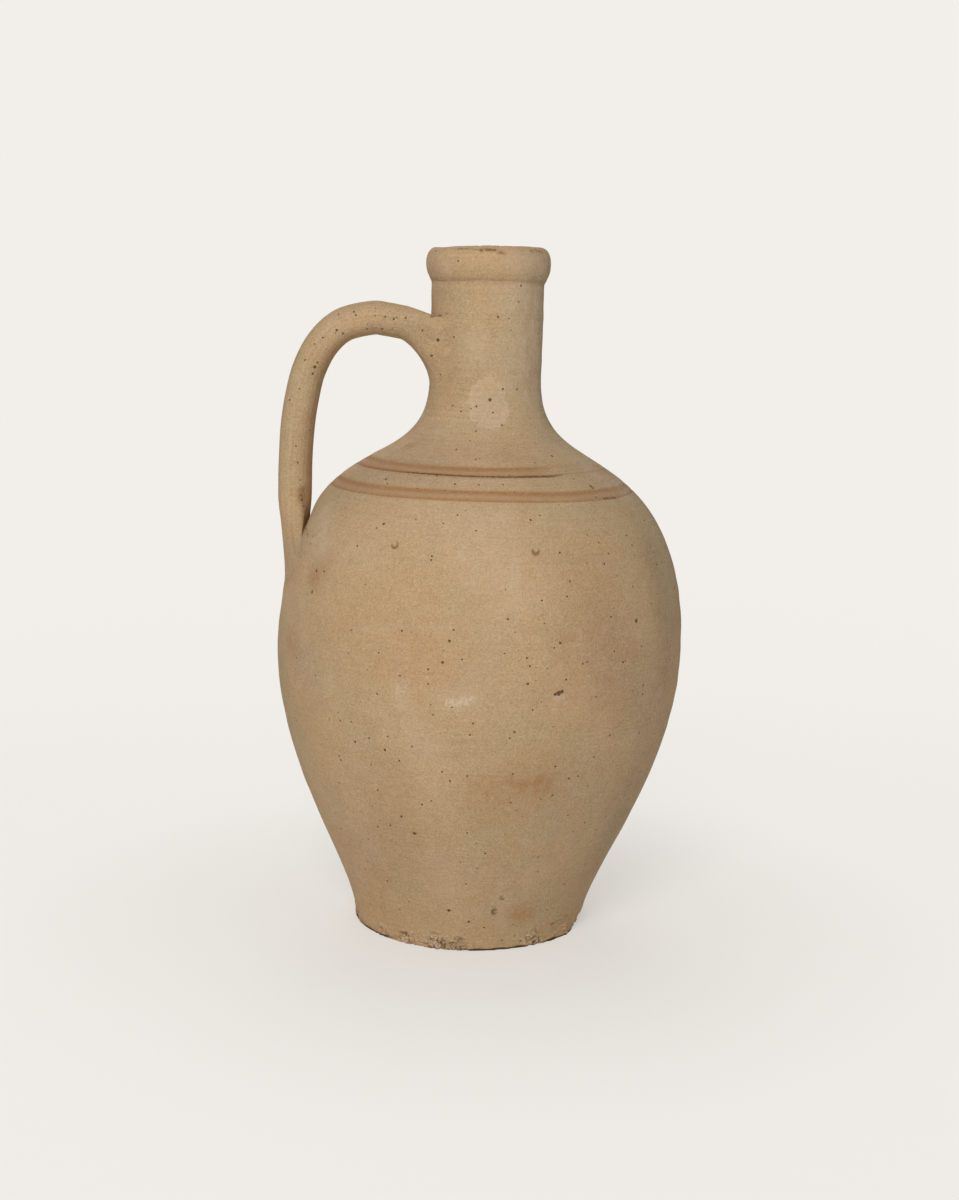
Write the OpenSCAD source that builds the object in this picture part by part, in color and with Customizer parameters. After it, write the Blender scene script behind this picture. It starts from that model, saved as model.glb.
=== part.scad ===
// Terracotta water jar with one strap handle, thrown in sections and luted together.
// +Z is up, the jar stands on z = 0, its turning axis is the Z axis and the handle lies towards -X.

/* [Vessel] */
// Radius of the foot where the jar stands
foot_r = 65; // [60:1:72]
// Lean of the wall at the foot, in degrees from upright
foot_lean = 3; // [0:1:12]
// Largest radius of the belly
belly_r = 114; // [108:1:122]
// Height of the largest radius
belly_h = 158; // [150:1:168]
// Radius at the scored line where the shoulder meets the neck section
shoulder_r = 85; // [80:1:90]
// Height of that scored line
shoulder_h = 248.5; // [242:0.5:256]
// Slope of the shoulder at that line, in degrees from level
shoulder_slope = 43; // [38:1:50]
// Outer radius of the neck
neck_r = 31; // [29:0.5:34]
// Height at which the neck turns upright
neck_h = 310; // [304:1:316]
// Height of the whole jar
jar_h = 380; // [374:1:390]

/* [Curves] */
// Length along which the foot's lean holds
foot_pull = 29; // [20:1:36]
// Length along which the belly holds its radius downwards
belly_pull = 68; // [55:1:75]
// Length along which the belly holds its radius upwards
belly_rise = 23; // [18:1:30]
// Length along which the shoulder's slope holds below the line
shoulder_pull = 38; // [30:1:44]
// Length along which the shoulder's slope holds above the line
cone_pull = 35; // [28:1:40]
// Length along which the neck's upright holds downwards
neck_pull = 39; // [30:1:44]

/* [Walls] */
// Wall of the body, square to its face
body_wall = 7; // [5.5:0.5:8.5]
// Wall of the neck
neck_wall = 6; // [5:0.5:7]
// Thickness of the base slab's rim, which shows below the wall
slab_edge = 5; // [4:0.5:6]
// Thickness of the floor inside the wall
floor_t = 9; // [7:0.5:11]
// Chamfer round the edge on which the jar stands
foot_chamfer = 1; // [0.5:0.1:1.5]

/* [Seams] */
// Height of the tongues that key the thrown sections together
tongue_h = 3; // [2:0.5:4]
// Thickness of those tongues
tongue_t = 2.4; // [1.6:0.2:3]
// Radius of the tool that scored the lines round the shoulder
score_r = 0.9; // [0.5:0.1:1.2]
// Height of the second scored line, above the first
score_rise = 11.5; // [9:0.5:14]

/* [Rim] */
// Height of the rolled collar
collar_h = 17; // [14:0.5:20]
// How far the collar's bead stands out from the neck
collar_proud = 3.4; // [2.5:0.1:4.5]
// Wall of the neck's spigot inside the collar
spigot_wall = 3.2; // [2.4:0.2:4]
// Thickness of the lip over the spigot
lip_t = 7; // [5:0.5:9]
// Radius of the lip's inner edge
lip_round = 2; // [1:0.5:3]

/* [Handle] */
// Clear width of the finger gap, from the neck to the handle
finger_gap = 64; // [56:1:72]
// Thickness of the handle strap
strap_t = 18.8; // [16:0.2:22]
// Width of the handle strap
strap_w = 26; // [22:0.5:30]
// Distance of the handle's middle line at its crest below the jar's top
crest_drop = 39.8; // [36:0.2:44]
// Distance of the crest out from the neck's face
crest_out = 32; // [28:1:38]
// Height of the handle's straight side below its crest
side_drop = 78; // [70:1:86]
// Distance of the root joint out from the neck's face
root_joint_out = 15; // [12:1:18]
// Height of the strap's middle line at the root joint, below its crest
root_joint_drop = 1.4; // [0.5:0.1:2.5]
// How far the root wad flares down the neck
root_flare_down = 20; // [15:1:26]
// How far the root wad's top falls towards the neck
root_flare_up = 6; // [3:0.5:9]
// Width of the root wad on the neck
root_flare_w = 42; // [34:1:48]
// Height of the foot joint below the shoulder's scored line
foot_joint_drop = 6; // [3:1:8]
// Height of the handle's tail below the foot joint
tail_drop = 50; // [42:1:56]
// Width of the tail where it is smeared on the body
tail_w = 40; // [32:1:46]
// Thickness of the tail
tail_t = 12; // [9:1:15]
// Length of the tenons that key the strap into its wads
tenon_l = 7; // [5:1:9]
// Size of the tenons as a share of the strap
tenon_share = 0.6; // [0.5:0.05:0.7]

/* [Hidden] */

$fn = 96;
clay = [0.74, 0.62, 0.47];
darker_clay = [0.66, 0.54, 0.40];
// Steps along each curve of the vessel and of the handle
curve_steps = 18;
sweep_steps = 12;
// Points round the handle's section
section_points = 24;
// How squarely the strap's outer and inner faces are rounded
outer_square = 2.2;
inner_square = 3.6;
// How steeply a wad flares towards the neck, and how far its edge is sunk before it is cut to the face
flare_power = 1.7;
wad_sunk = 0.8;
// How long the bow and the tail hold their direction at each end, as shares of their reach
bow_hold_crest = 0.6;
bow_hold_side = 0.56;
tail_hold_joint = 0.4;
tail_hold_end = 0.3;
// How much of the tail's thickness is buried in the body, and how far the tail leans out as it arrives
tail_buried = 0.7;
tail_lean = 1;
// Steps of the collar's bead, degrees between points of the lip's edge, and facets of a scored line
bead_steps = 15;
lip_step = 15;
score_facets = 24;
// Steps along the strap from its root joint to the crest
root_steps = 4;

collar_base = jar_h - collar_h;
throat_r = neck_r - neck_wall;
spigot_r = throat_r + spigot_wall;
spigot_top = jar_h - lip_t;
boss_r = foot_r - body_wall;

// A curve is four control points; t runs from 0 at its first end to 1 at its last
function bezier(c, t) = pow(1 - t, 3) * c[0] + 3 * t * pow(1 - t, 2) * c[1]
    + 3 * t * t * (1 - t) * c[2] + pow(t, 3) * c[3];
function bezier_slope(c, t) = 3 * pow(1 - t, 2) * (c[1] - c[0]) + 6 * t * (1 - t) * (c[2] - c[1])
    + 3 * t * t * (c[3] - c[2]);
function unit(v) = v / norm(v);
function left_of(v) = [-v[1], v[0]];

// The vessel's outer face, as curves of [radius, height]
shoulder_way = [-cos(shoulder_slope), sin(shoulder_slope)];
shoulder_point = [shoulder_r, shoulder_h];
lower_curve = [[foot_r, 0], [foot_r + foot_pull * sin(foot_lean), foot_pull * cos(foot_lean)],
    [belly_r, belly_h - belly_pull], [belly_r, belly_h]];
upper_curve = [[belly_r, belly_h], [belly_r, belly_h + belly_rise],
    shoulder_point - shoulder_pull * shoulder_way, shoulder_point];
cone_curve = [shoulder_point, shoulder_point + cone_pull * shoulder_way, [neck_r, neck_h - neck_pull],
    [neck_r, neck_h]];

// Points on a curve, and those one wall inside it, where the wall goes from wall_a to wall_b
function outer_points(c) = [for (i = [0 : curve_steps]) bezier(c, i / curve_steps)];
function inner_points(c, wall_a, wall_b) = [for (i = [0 : curve_steps])
    let (t = i / curve_steps, wall = wall_a + (wall_b - wall_a) * t)
    bezier(c, t) + wall * left_of(unit(bezier_slope(c, t)))];
function backwards(list) = [for (i = [len(list) - 1 : -1 : 0]) list[i]];
function by_height(points) = [for (p = points) [p[1], p[0]]];
// Radius of the body and of the shoulder's cone at a height
function body_r_at(z) = lookup(z, by_height(outer_points(upper_curve)));
function cone_r_at(z) = lookup(z, by_height(outer_points(cone_curve)));

module wall_between(c, wall_a, wall_b) {
    rotate_extrude()
        polygon(concat(outer_points(c), backwards(inner_points(c, wall_a, wall_b))));
}

// A tongue that stands on the end of a wall, in the middle of it, sunk one tongue thickness into it
module tongue(c, wall) {
    way = unit(bezier_slope(c, 1));
    foot = bezier(c, 1) + (wall / 2) * left_of(way);
    across = (tongue_t / 2) * left_of(way);
    rotate_extrude()
        polygon([foot - tongue_t * way - across, foot + tongue_h * way - across,
            foot + tongue_h * way + across, foot - tongue_t * way + across]);
}

// A line scored round the vessel
module score(r, z) {
    rotate_extrude()
        translate([r, z])
            circle(r = score_r, $fn = score_facets);
}

module shoulder_scores() {
    score(shoulder_r, shoulder_h);
    score(cone_r_at(shoulder_h + score_rise), shoulder_h + score_rise);
}

// The jar's outside as one filled form, to which the handle's ends are cut
module vessel_filled() {
    rotate_extrude()
        polygon(concat([[0, 0]], outer_points(lower_curve), outer_points(upper_curve),
            outer_points(cone_curve), [[neck_r, collar_base], [0, collar_base]]));
}

module base_slab() {
    color(darker_clay) {
        intersection() {
            rotate_extrude()
                polygon(concat([[0, 0], [foot_r - foot_chamfer, 0], [foot_r, foot_chamfer]],
                    [for (p = outer_points(lower_curve)) if (p[1] > foot_chamfer) p], [[0, belly_h]]));
            cylinder(r = belly_r, h = slab_edge);
        }
        translate([0, 0, slab_edge / 2])
            cylinder(r = boss_r, h = floor_t - slab_edge / 2);
    }
}

module lower_body() {
    color(clay)
        difference() {
            union() {
                wall_between(lower_curve, body_wall, body_wall);
                tongue(lower_curve, body_wall);
            }
            translate([0, 0, -slab_edge])
                cylinder(r = belly_r, h = 2 * slab_edge);
            cylinder(r = boss_r, h = floor_t);
        }
}

module upper_body() {
    color(clay)
        difference() {
            union() {
                wall_between(upper_curve, body_wall, body_wall);
                tongue(upper_curve, body_wall);
            }
            tongue(lower_curve, body_wall);
            shoulder_scores();
        }
}

module neck() {
    color(clay)
        difference() {
            union() {
                wall_between(cone_curve, body_wall, neck_wall);
                translate([0, 0, neck_h])
                    cylinder(r = neck_r, h = collar_base - neck_h);
                translate([0, 0, neck_h])
                    cylinder(r = spigot_r, h = spigot_top - neck_h);
            }
            translate([0, 0, neck_h - 0.01])
                cylinder(r = throat_r, h = jar_h - neck_h);
            tongue(upper_curve, body_wall);
            shoulder_scores();
        }
}

// The collar's bead is part of an ellipse that starts at the neck's face and ends on top of the lip
module rim_collar() {
    bead_x = spigot_r + 1;
    bead_w = neck_r + collar_proud - bead_x;
    bead_h = collar_h / 2;
    start = -acos((neck_r - bead_x) / bead_w);
    color(clay)
        rotate_extrude()
            polygon(concat([[spigot_r, collar_base]],
                [for (i = [0 : bead_steps]) let (turn = start + (90 - start) * i / bead_steps)
                    [bead_x + bead_w * cos(turn),
                     max(collar_base, collar_base + bead_h + bead_h * sin(turn))]],
                [for (a = [90 : lip_step : 180]) [throat_r + lip_round + lip_round * cos(a),
                    jar_h - lip_round + lip_round * sin(a)]],
                [[throat_r, spigot_top], [spigot_r, spigot_top]]));
}

// The handle's middle line runs in the plane y = 0, as curves of [x, z]
crest = [-(neck_r + crest_out), jar_h - crest_drop];
side = [-(neck_r + finger_gap + strap_t / 2), crest[1] - side_drop];
root_joint = [-(neck_r + root_joint_out), crest[1] - root_joint_drop];
foot_joint_h = shoulder_h - foot_joint_drop;
tail_h = foot_joint_h - tail_drop;
tail_end = [-(body_r_at(tail_h) - tail_t * tail_buried), tail_h];
crest_run = root_joint[0] - crest[0];
root_curve = [root_joint, root_joint + [-crest_run / 3, root_joint_drop / 2], crest + [crest_run / 3, 0],
    crest];
bow = [crest[0] - side[0], crest[1] - side[1]];
bow_curve = [crest, crest - [bow_hold_crest * bow[0], 0], side + [0, bow_hold_side * bow[1]], side];
foot_joint = [side[0], foot_joint_h];
foot_curve = [foot_joint, foot_joint - [0, tail_hold_joint * tail_drop],
    tail_end + [-tail_lean, tail_hold_end * tail_drop], tail_end];

// A ring of the handle: middle point, way along it, and half sizes across and along the strap's width
function section(a, square) = [sign(cos(a)) * pow(abs(cos(a)), 2 / square),
    sign(sin(a)) * pow(abs(sin(a)), 2 / square)];
function ring(middle, way, half_t, half_w) = [for (i = [0 : section_points - 1])
    let (a = 360 * i / section_points, s = section(a, cos(a) < 0 ? inner_square : outer_square),
        out = [way[1], -way[0]], p = middle - half_t * s[0] * out)
    [p[0], half_w * s[1], p[1]]];
function curve_ring(c, t, half_t, half_w) = ring(bezier(c, t), unit(bezier_slope(c, t)), half_t, half_w);

// A closed skin over rings of equal size
module skin(rings) {
    n = section_points;
    last = len(rings) - 1;
    polyhedron(
        points = [for (r = rings) for (p = r) p],
        faces = concat([[for (i = [0 : n - 1]) i]],
            [for (k = [0 : last - 1]) for (i = [0 : n - 1])
                [k * n + i, (k + 1) * n + i, (k + 1) * n + (i + 1) % n]],
            [for (k = [0 : last - 1]) for (i = [0 : n - 1])
                [k * n + i, (k + 1) * n + (i + 1) % n, k * n + (i + 1) % n]],
            [[for (i = [n - 1 : -1 : 0]) last * n + i]]),
        convexity = 6);
}

half_t = strap_t / 2;
half_w = strap_w / 2;
away = [-1, 0];
down = [0, -1];

root_tenon = [ring(root_joint - tenon_l * away, away, half_t * tenon_share, half_w * tenon_share),
    ring(root_joint, away, half_t * tenon_share, half_w * tenon_share)];
foot_tenon = [ring(foot_joint, down, half_t * tenon_share, half_w * tenon_share),
    ring(foot_joint + tenon_l * down, down, half_t * tenon_share, half_w * tenon_share)];

// An upright ring of the root wad, at a share of the way from the strap's end (0) to just inside the
// neck's face (1), where it wraps round the neck
function root_ring(share) = let (u = pow(share, flare_power),
        top = root_joint[1] + half_t - root_flare_up * u,
        bottom = root_joint[1] - half_t - root_flare_down * u)
    [for (p = ring([root_joint[0] + (root_joint_out + wad_sunk) * share, (top + bottom) / 2], away,
            (top - bottom) / 2, half_w + (root_flare_w / 2 - half_w) * u))
        p + [share * (neck_r - sqrt(neck_r * neck_r - p[1] * p[1])), 0, 0]];
// The wad's buried end is flat and lies halfway to the neck's axis
root_end_ring = [for (p = root_ring(1)) [-neck_r / 2, p[1], p[2]]];

module handle() {
    color(clay)
        skin(concat(root_tenon,
            [ring(root_joint, away, half_t, half_w)],
            [for (i = [1 : root_steps]) curve_ring(root_curve, i / root_steps, half_t, half_w)],
            [for (i = [1 : sweep_steps]) curve_ring(bow_curve, i / sweep_steps, half_t, half_w)],
            [ring(foot_joint, down, half_t, half_w)], foot_tenon));
}

module handle_root_wad() {
    color(clay)
        difference() {
            skin(concat([root_end_ring],
                [for (i = [sweep_steps : -1 : 0]) root_ring(i / sweep_steps)], backwards(root_tenon)));
            vessel_filled();
        }
}

module handle_foot_wad() {
    color(clay)
        difference() {
            skin(concat(backwards(foot_tenon),
                [for (i = [0 : sweep_steps]) let (t = i / sweep_steps)
                    curve_ring(foot_curve, t, half_t + (tail_t / 2 - half_t) * t,
                        half_w + (tail_w / 2 - half_w) * t)]));
            vessel_filled();
        }
}

base_slab();
lower_body();
upper_body();
neck();
rim_collar();
handle();
handle_root_wad();
handle_foot_wad();
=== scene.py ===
"""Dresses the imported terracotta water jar: a thrown clay skin over its sections, a pulled strap handle
with its two luted ends, and procedural clay. Sizes are in millimetres until a mesh is made."""
import math

import bpy
import numpy as np
from mathutils import Matrix, Vector
from mathutils.bvhtree import BVHTree


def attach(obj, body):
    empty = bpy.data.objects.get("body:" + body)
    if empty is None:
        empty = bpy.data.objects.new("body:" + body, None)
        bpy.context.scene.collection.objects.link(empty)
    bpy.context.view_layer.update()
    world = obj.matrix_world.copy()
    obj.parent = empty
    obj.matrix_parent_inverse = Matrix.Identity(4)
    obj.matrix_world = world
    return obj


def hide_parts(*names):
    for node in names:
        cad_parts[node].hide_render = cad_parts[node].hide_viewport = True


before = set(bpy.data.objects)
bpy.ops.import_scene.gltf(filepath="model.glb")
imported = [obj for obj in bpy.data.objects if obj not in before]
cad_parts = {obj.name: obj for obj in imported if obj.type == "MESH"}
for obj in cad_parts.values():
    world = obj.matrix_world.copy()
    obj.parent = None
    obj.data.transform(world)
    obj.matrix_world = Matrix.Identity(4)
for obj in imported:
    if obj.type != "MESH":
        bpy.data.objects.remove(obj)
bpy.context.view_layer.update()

MM = 0.001
TURN = 2 * math.pi
SEED = 4

# The camera of the photograph, which is 959 by 1200 pixels
PHOTO_W, PHOTO_H = 959, 1200
EYE = Vector((0.0, -989.4, 342.3))
AIM = Vector((0.6, 0.0, 183.9))
ROLL = math.radians(1.47)
FOCAL_PX = 1767.6
SENSOR = 36.0

# Vessel
FOOT_R, FOOT_LEAN, FOOT_PULL = 65.0, math.radians(3), 29.0
BELLY_R, BELLY_H, BELLY_PULL, BELLY_RISE = 114.0, 158.0, 68.0, 23.0
SHOULDER_R, SHOULDER_H, SHOULDER_SLOPE, SHOULDER_PULL = 85.0, 248.5, math.radians(43), 38.0
CONE_PULL, NECK_PULL = 35.0, 39.0
NECK_R, NECK_H = 31.0, 310.0
JAR_H = 380.0
COLLAR_H, COLLAR_PROUD = 17.0, 3.4
BODY_WALL, NECK_WALL = 7.0, 6.0
SLAB_EDGE, FLOOR = 5.0, 9.0
SPIGOT_WALL, LIP = 3.2, 7.0
COLLAR_BASE = JAR_H - COLLAR_H
THROAT_R = NECK_R - NECK_WALL
SPIGOT_R = THROAT_R + SPIGOT_WALL

# Grid: columns round the vessel, and steps between its rows on each stretch
COLUMNS = 512
ROW, INNER_ROW, FINE_ROW = 1.25, 7.0, 0.33
NECK_ROW, NECK_INNER_ROW, COLLAR_ROW, EDGE_ROW = 1.35, 6.0, 0.45, 0.25

# Samples that a line is measured with, and the length of a noise table
DENSE, TABLE = 4000, 512

# Scored bands round the shoulder, each as (height of its lower edge, how tall it is, seed of its noise)
LOW_BAND, HIGH_BAND = (248.4, 6.0, 21), (260.1, 5.2, 25)

# Crumbled places in the edge of the foot, as (degrees from the front, half width in degrees, strength)
CRUMBLES = [
    (-11, 17, 1.0), (-29, 12, 0.55), (-46, 11, 0.3), (34, 9, 0.8), (46, 8, 0.4), (76, 12, 0.8),
    (128, 14, 0.8), (-74, 12, 0.5), (-130, 12, 0.7), (-165, 7, 0.5)]

# Stretches of the bottom edge with a hollow line, painted dark as the shadow under the edge, in the same
# form
HOLLOWS = [
    (-52, 16, 1.0), (16, 26, 1.0), (52, 16, 0.9), (100, 20, 0.7), (150, 22, 0.9), (-100, 16, 0.8),
    (-155, 18, 0.9), (-80, 10, 0.5)]

# Clay crusts that stick out of the foot, and chips that are gone from it, in the same form
CRUSTS = [(56, 4, 1.0), (-101, 6, 0.7), (160, 8, 0.8)]
CHIPS = [(82, 24, 1.0), (-142, 9, 0.6)]

# Sideways wander of the turning axis, towards +X, as heights and shifts
AXIS_AT = [0, 60, 120, 180, 235, 265, 310, 345, 380]
AXIS_BY = [-1.6, -0.3, 0.6, 1.1, 0.3, 0.3, 0.8, 0.9, 0.6]

# How the collar sits. Its crease drops and tilts, starting from a height on the neck. Its top tilts the
# other way and is worn low in one place, as (angle, half angle, depth).
TILT_FROM, CREASE_DROP, CREASE_TILT, TOP_TILT = 335, 1.35, 0.2, 0.5
WORN_LOW = (-1.0, 0.6, 0.4)

# Hollows left by fingers round the handle, as (height, half height, angle, half angle, depth). The last
# one is behind the strap's tail and shows inside too.
LEFT = -math.pi / 2
THUMB_HOLLOW = (189, 15, LEFT, 0.155, 2.1)
ROOT_HOLLOW = (285, 17, LEFT, 0.9, 0.9)
PRESSED = (224, 14, -1.54, 0.26, 4.0)

# Handle: stations of the middle line in the plane y = 0, as (x, z), from the neck to the shoulder
HANDLE_LINE = [
    (-46.0, 338.6), (-54.5, 339.9), (-63.0, 340.4), (-78.6, 336.2), (-89.9, 325.8), (-96.9, 312.2),
    (-101.0, 296.0), (-103.3, 280.0), (-104.4, 262.0), (-104.5, 242.5)]
STRAP_T, STRAP_W = 18.8, 27.0

# The wads, each as (height of its middle, half width, reach above it, reach below it). The foot wad is
# smeared further out in front of the strap and behind it.
ROOT_WAD, FOOT_WAD = (325.0, 24.0, 17.3, 23.0), (213.0, 16.0, 15.0, 21.0)
SMEAR_FRONT, SMEAR_BEHIND = 28.0, 14.0


# Curves and noise

def bezier(c, t):
    c, t = np.asarray(c, float), np.asarray(t, float)[..., None]
    return (1 - t) ** 3 * c[0] + 3 * t * (1 - t) ** 2 * c[1] + 3 * t * t * (1 - t) * c[2] + t ** 3 * c[3]


def smooth(x):
    x = np.clip(x, 0.0, 1.0)
    return x * x * (3 - 2 * x)


def bump(x, half):
    """1 at x = 0, falling smoothly to 0 at half."""
    return 1 - smooth(np.abs(x) / half)


def cells(u, v, across, seed):
    """Smooth noise from -1 to 1. u wraps at 1 and is cut in `across` cells; v is in cells."""
    table = np.random.default_rng(seed).uniform(-1, 1, (across, TABLE))
    u = np.mod(u, 1.0) * across
    iu, iv = np.floor(u).astype(int), np.floor(v).astype(int)
    fu, fv = smooth(u - iu), smooth(v - iv)
    a, b = iu % across, (iu + 1) % across
    c, d = iv % TABLE, (iv + 1) % TABLE
    low = table[a, c] * (1 - fu) + table[b, c] * fu
    high = table[a, d] * (1 - fu) + table[b, d] * fu
    return low * (1 - fv) + high * fv


def ways_of(line):
    """The direction of a line at each of its points."""
    way = np.gradient(line, axis=0)
    return way / np.maximum(np.linalg.norm(way, axis=1), 1e-9)[:, None]


def length_along(line):
    """The length of a line up to each of its points."""
    return np.concatenate([[0], np.cumsum(np.linalg.norm(np.diff(line, axis=0), axis=1))])


def spaced(line, step, fine=()):
    """The line resampled at `step`, or at FINE_ROW within each (height, half width) of fine."""
    line = np.asarray(line, float)
    along = length_along(line)
    s = np.linspace(0, along[-1], DENSE)
    z = np.interp(s, along, line[:, 1])
    want = np.full_like(s, step)
    for height, half in fine:
        want = np.minimum(want, FINE_ROW + (step - FINE_ROW) * smooth((np.abs(z - height) - half) / 4))
    count = np.concatenate([[0], np.cumsum(np.diff(s) / want[1:])])
    rows = max(2, int(round(count[-1])) + 1)
    at = np.interp(np.linspace(0, count[-1], rows), count, s)
    return np.stack([np.interp(at, along, line[:, 0]), np.interp(at, along, line[:, 1])], 1)


# The vessel's outline as [radius, height]

THETA = np.linspace(0, TURN, COLUMNS, endpoint=False)
T = np.linspace(0, 1, 400)
SLOPE_WAY = np.array([-math.cos(SHOULDER_SLOPE), math.sin(SHOULDER_SLOPE)])
SHOULDER = np.array([SHOULDER_R, SHOULDER_H])
LOWER = bezier([(FOOT_R, 0), (FOOT_R + FOOT_PULL * math.sin(FOOT_LEAN), FOOT_PULL * math.cos(FOOT_LEAN)),
                (BELLY_R, BELLY_H - BELLY_PULL), (BELLY_R, BELLY_H)], T)
UPPER = bezier([(BELLY_R, BELLY_H), (BELLY_R, BELLY_H + BELLY_RISE),
                SHOULDER - SHOULDER_PULL * SLOPE_WAY, SHOULDER], T)
CONE = bezier([SHOULDER, SHOULDER + CONE_PULL * SLOPE_WAY,
               (NECK_R, NECK_H - NECK_PULL), (NECK_R, NECK_H)], T)
TUBE = np.array([(NECK_R, NECK_H), (NECK_R, COLLAR_BASE)])
OUTER = np.concatenate([LOWER, UPPER[1:], CONE[1:], TUBE[1:]])


def normals_of(line):
    """Outward normals of a line that climbs with the clay on its left."""
    way = ways_of(line)
    return np.stack([way[:, 1], -way[:, 0]], 1)


def inside(line, wall_a, wall_b):
    """The line moved in by a wall that goes from wall_a to wall_b."""
    return line - np.linspace(wall_a, wall_b, len(line))[:, None] * normals_of(line)


# What the potter's hands did to the outline

def turned_from(theta, middle):
    """Angle from `middle`, between -pi and pi."""
    return np.angle(np.exp(1j * (theta - middle)))


def lean(z):
    """Sideways wander of the turning axis, towards +X."""
    return np.interp(z, AXIS_AT, AXIS_BY)


def lift(theta, z):
    """The collar sits low on the neck and leans: its crease dips to the right and its top to the left."""
    middle, half, depth = WORN_LOW
    crease = -CREASE_DROP - CREASE_TILT * np.sin(theta)
    top = TOP_TILT * np.sin(theta) - depth * bump(turned_from(theta, middle), half)
    return (crease * np.interp(z, [TILT_FROM, COLLAR_BASE, JAR_H], [0, 1, 0])
            + top * np.interp(z, [COLLAR_BASE, JAR_H], [0, 1]))


def band_mask(theta, z, band, fill=0.58):
    """Colour of a band: crisp along its lower edge, soft and streaky above."""
    low, tall, seed = band
    turn = theta / TURN
    share = (z - low - 0.3 * cells(turn, z * 0, 9, seed)) / tall
    body = smooth(share / 0.10 + 0.5) * (1 - smooth((share - 0.74) / 0.28))
    wave = TURN * share * 1.42 + 0.7 * cells(turn, z * 0, 13, seed + 1)
    streaks = fill + (1 - fill) * np.cos(wave)
    return body * streaks * (0.9 + 0.3 * cells(turn, z * 0, 6, seed + 2))


def high_mask(theta, z):
    """The upper band, which is worn away on the right."""
    worn = smooth((0.85 - np.abs(turned_from(theta, 1.25))) / 0.25)
    return band_mask(theta, z, HIGH_BAND, 0.74) * (1 - 0.8 * worn)


def cut_line(theta, z):
    """The cut along the upper band's lower edge. It fades and climbs on the right, where it ended."""
    turn = theta / TURN
    gone = smooth((np.abs(turned_from(theta, 0.0)) - 0.50) / 0.25)
    right = smooth((theta - 0.5) / 0.25) * (theta < math.pi)
    height = HIGH_BAND[0] + 0.2 * cells(turn, z * 0, 14, 24) + 1.1 * right
    return bump(z - height, 0.75) * (1 - (0.72 + 0.2 * cells(turn, z * 0, 11, 28)) * gone)


def places_round(theta, z, places, gain=1.0):
    """The strongest of the places round the foot, each given by its angle, half width and strength."""
    mask = np.zeros_like(theta + z)
    for middle, half, strength in places:
        away = turned_from(theta, math.radians(middle)) / math.radians(half)
        mask = np.maximum(mask, strength * (1 - smooth(np.abs(away))))
    return np.minimum(gain * mask, 1)


def crumb(theta, z):
    """How crumbled the foot's edge is."""
    ragged = 0.45 * cells(theta / TURN, z / 2.0, 90, 31)
    return places_round(theta, z, CRUMBLES, 1.5) * smooth((11 - z) / 8 + ragged)


def undercut(theta, z):
    """1 in the thin hollow line along the bottom edge, which is painted dark as the shadow under the
    edge.
    """
    height = 1.55 + 0.35 * cells(theta / TURN, z * 0, 70, 36)
    return places_round(theta, z, HOLLOWS, 2.2) * smooth((height - z) / 0.5)


def hollow(theta, z, finger):
    """How deep one finger's hollow is."""
    height, half_height, middle, half_angle, depth = finger
    away = turned_from(theta, middle) / half_angle
    return depth * np.exp(-((z - height) / half_height) ** 2 - away ** 2)


def relief(theta, z):
    """How far the outside stands out from the plain outline."""
    turn = theta / TURN
    # The turning is a little out of round, most of all in the body, with throwing rings
    body = smooth((300 - z) / 60)
    d = (0.15 + 0.30 * body) * np.cos(2 * theta - 1.3) + 0.12 * np.cos(3 * theta + 2.0 + z / 90)
    d += (0.10 + 0.25 * body) * cells(turn, z / 38, 11, SEED)
    rings = cells(turn * 0 + 0.2, (z + 4 * turn) / 6.5, 1, SEED + 1)
    d += 0.13 * rings * (0.7 + 0.5 * cells(turn, z / 20, 7, SEED + 2))
    d += 0.08 * cells(turn, z / 7, 60, SEED + 3)
    # Bands and the cut, and a little clay that is pushed up against the collar
    d -= 0.22 * band_mask(theta, z, LOW_BAND) + 0.20 * high_mask(theta, z) + 0.45 * cut_line(theta, z)
    d += 0.25 * bump(z - COLLAR_BASE, 2.6)
    for finger in (THUMB_HOLLOW, ROOT_HOLLOW, PRESSED):
        d -= hollow(theta, z, finger)
    # The foot's edge: a low swell and light tearing all round
    d += 0.35 * smooth((7 - z) / 7)
    torn = cells(turn, z / 2.2, 95, SEED + 5) + 0.5 * cells(turn, z / 1.1, 190, SEED + 6)
    d -= 0.7 * np.clip(torn - 0.45, 0, 2) * smooth((8 - z) / 8)
    # Crusts, chips, the hollow line and the crumbled places
    knobs = cells(turn, z / 2.1, 150, 34) + 0.5 * cells(turn, z / 1.1, 300, 35)
    d += 1.5 * places_round(theta, z, CRUSTS) * smooth((14 - z) / 6) * np.clip(knobs + 0.1, 0, 1.2)
    chipped = smooth((7 - z) / 4 + 0.4 * cells(turn, z / 2.5, 60, 37))
    d -= 2.5 * places_round(theta, z, CHIPS, 1.6) * chipped
    d -= 0.3 * undercut(theta, z)
    lumps = 1.1 * cells(turn, z / 1.8, 210, 32) + 0.7 * cells(turn, z / 0.9, 420, 33)
    return d + crumb(theta, z) * (lumps + 0.05)


def place(line, shift=None):
    """The outline swept round the axis, as rows by columns by xyz. Angle 0 faces the camera and +90
    degrees is +X. shift moves each point along its normal."""
    r, z = (values[:, None] + 0 * THETA for values in line.T)
    a = THETA + 0 * r
    if shift is not None:
        out, up = normals_of(line).T[:, :, None]
        d = shift(a, z)
        r, z = r + d * out, z + d * up
    x = r * np.sin(a) + lean(z)
    return np.stack([x, -r * np.cos(a), np.maximum(z + lift(a, z), 0)], -1)


# Meshes

def shown(name, data):
    """An object of the scene that holds the data."""
    made = bpy.data.objects.new(name, data)
    bpy.context.scene.collection.objects.link(made)
    return made


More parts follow.
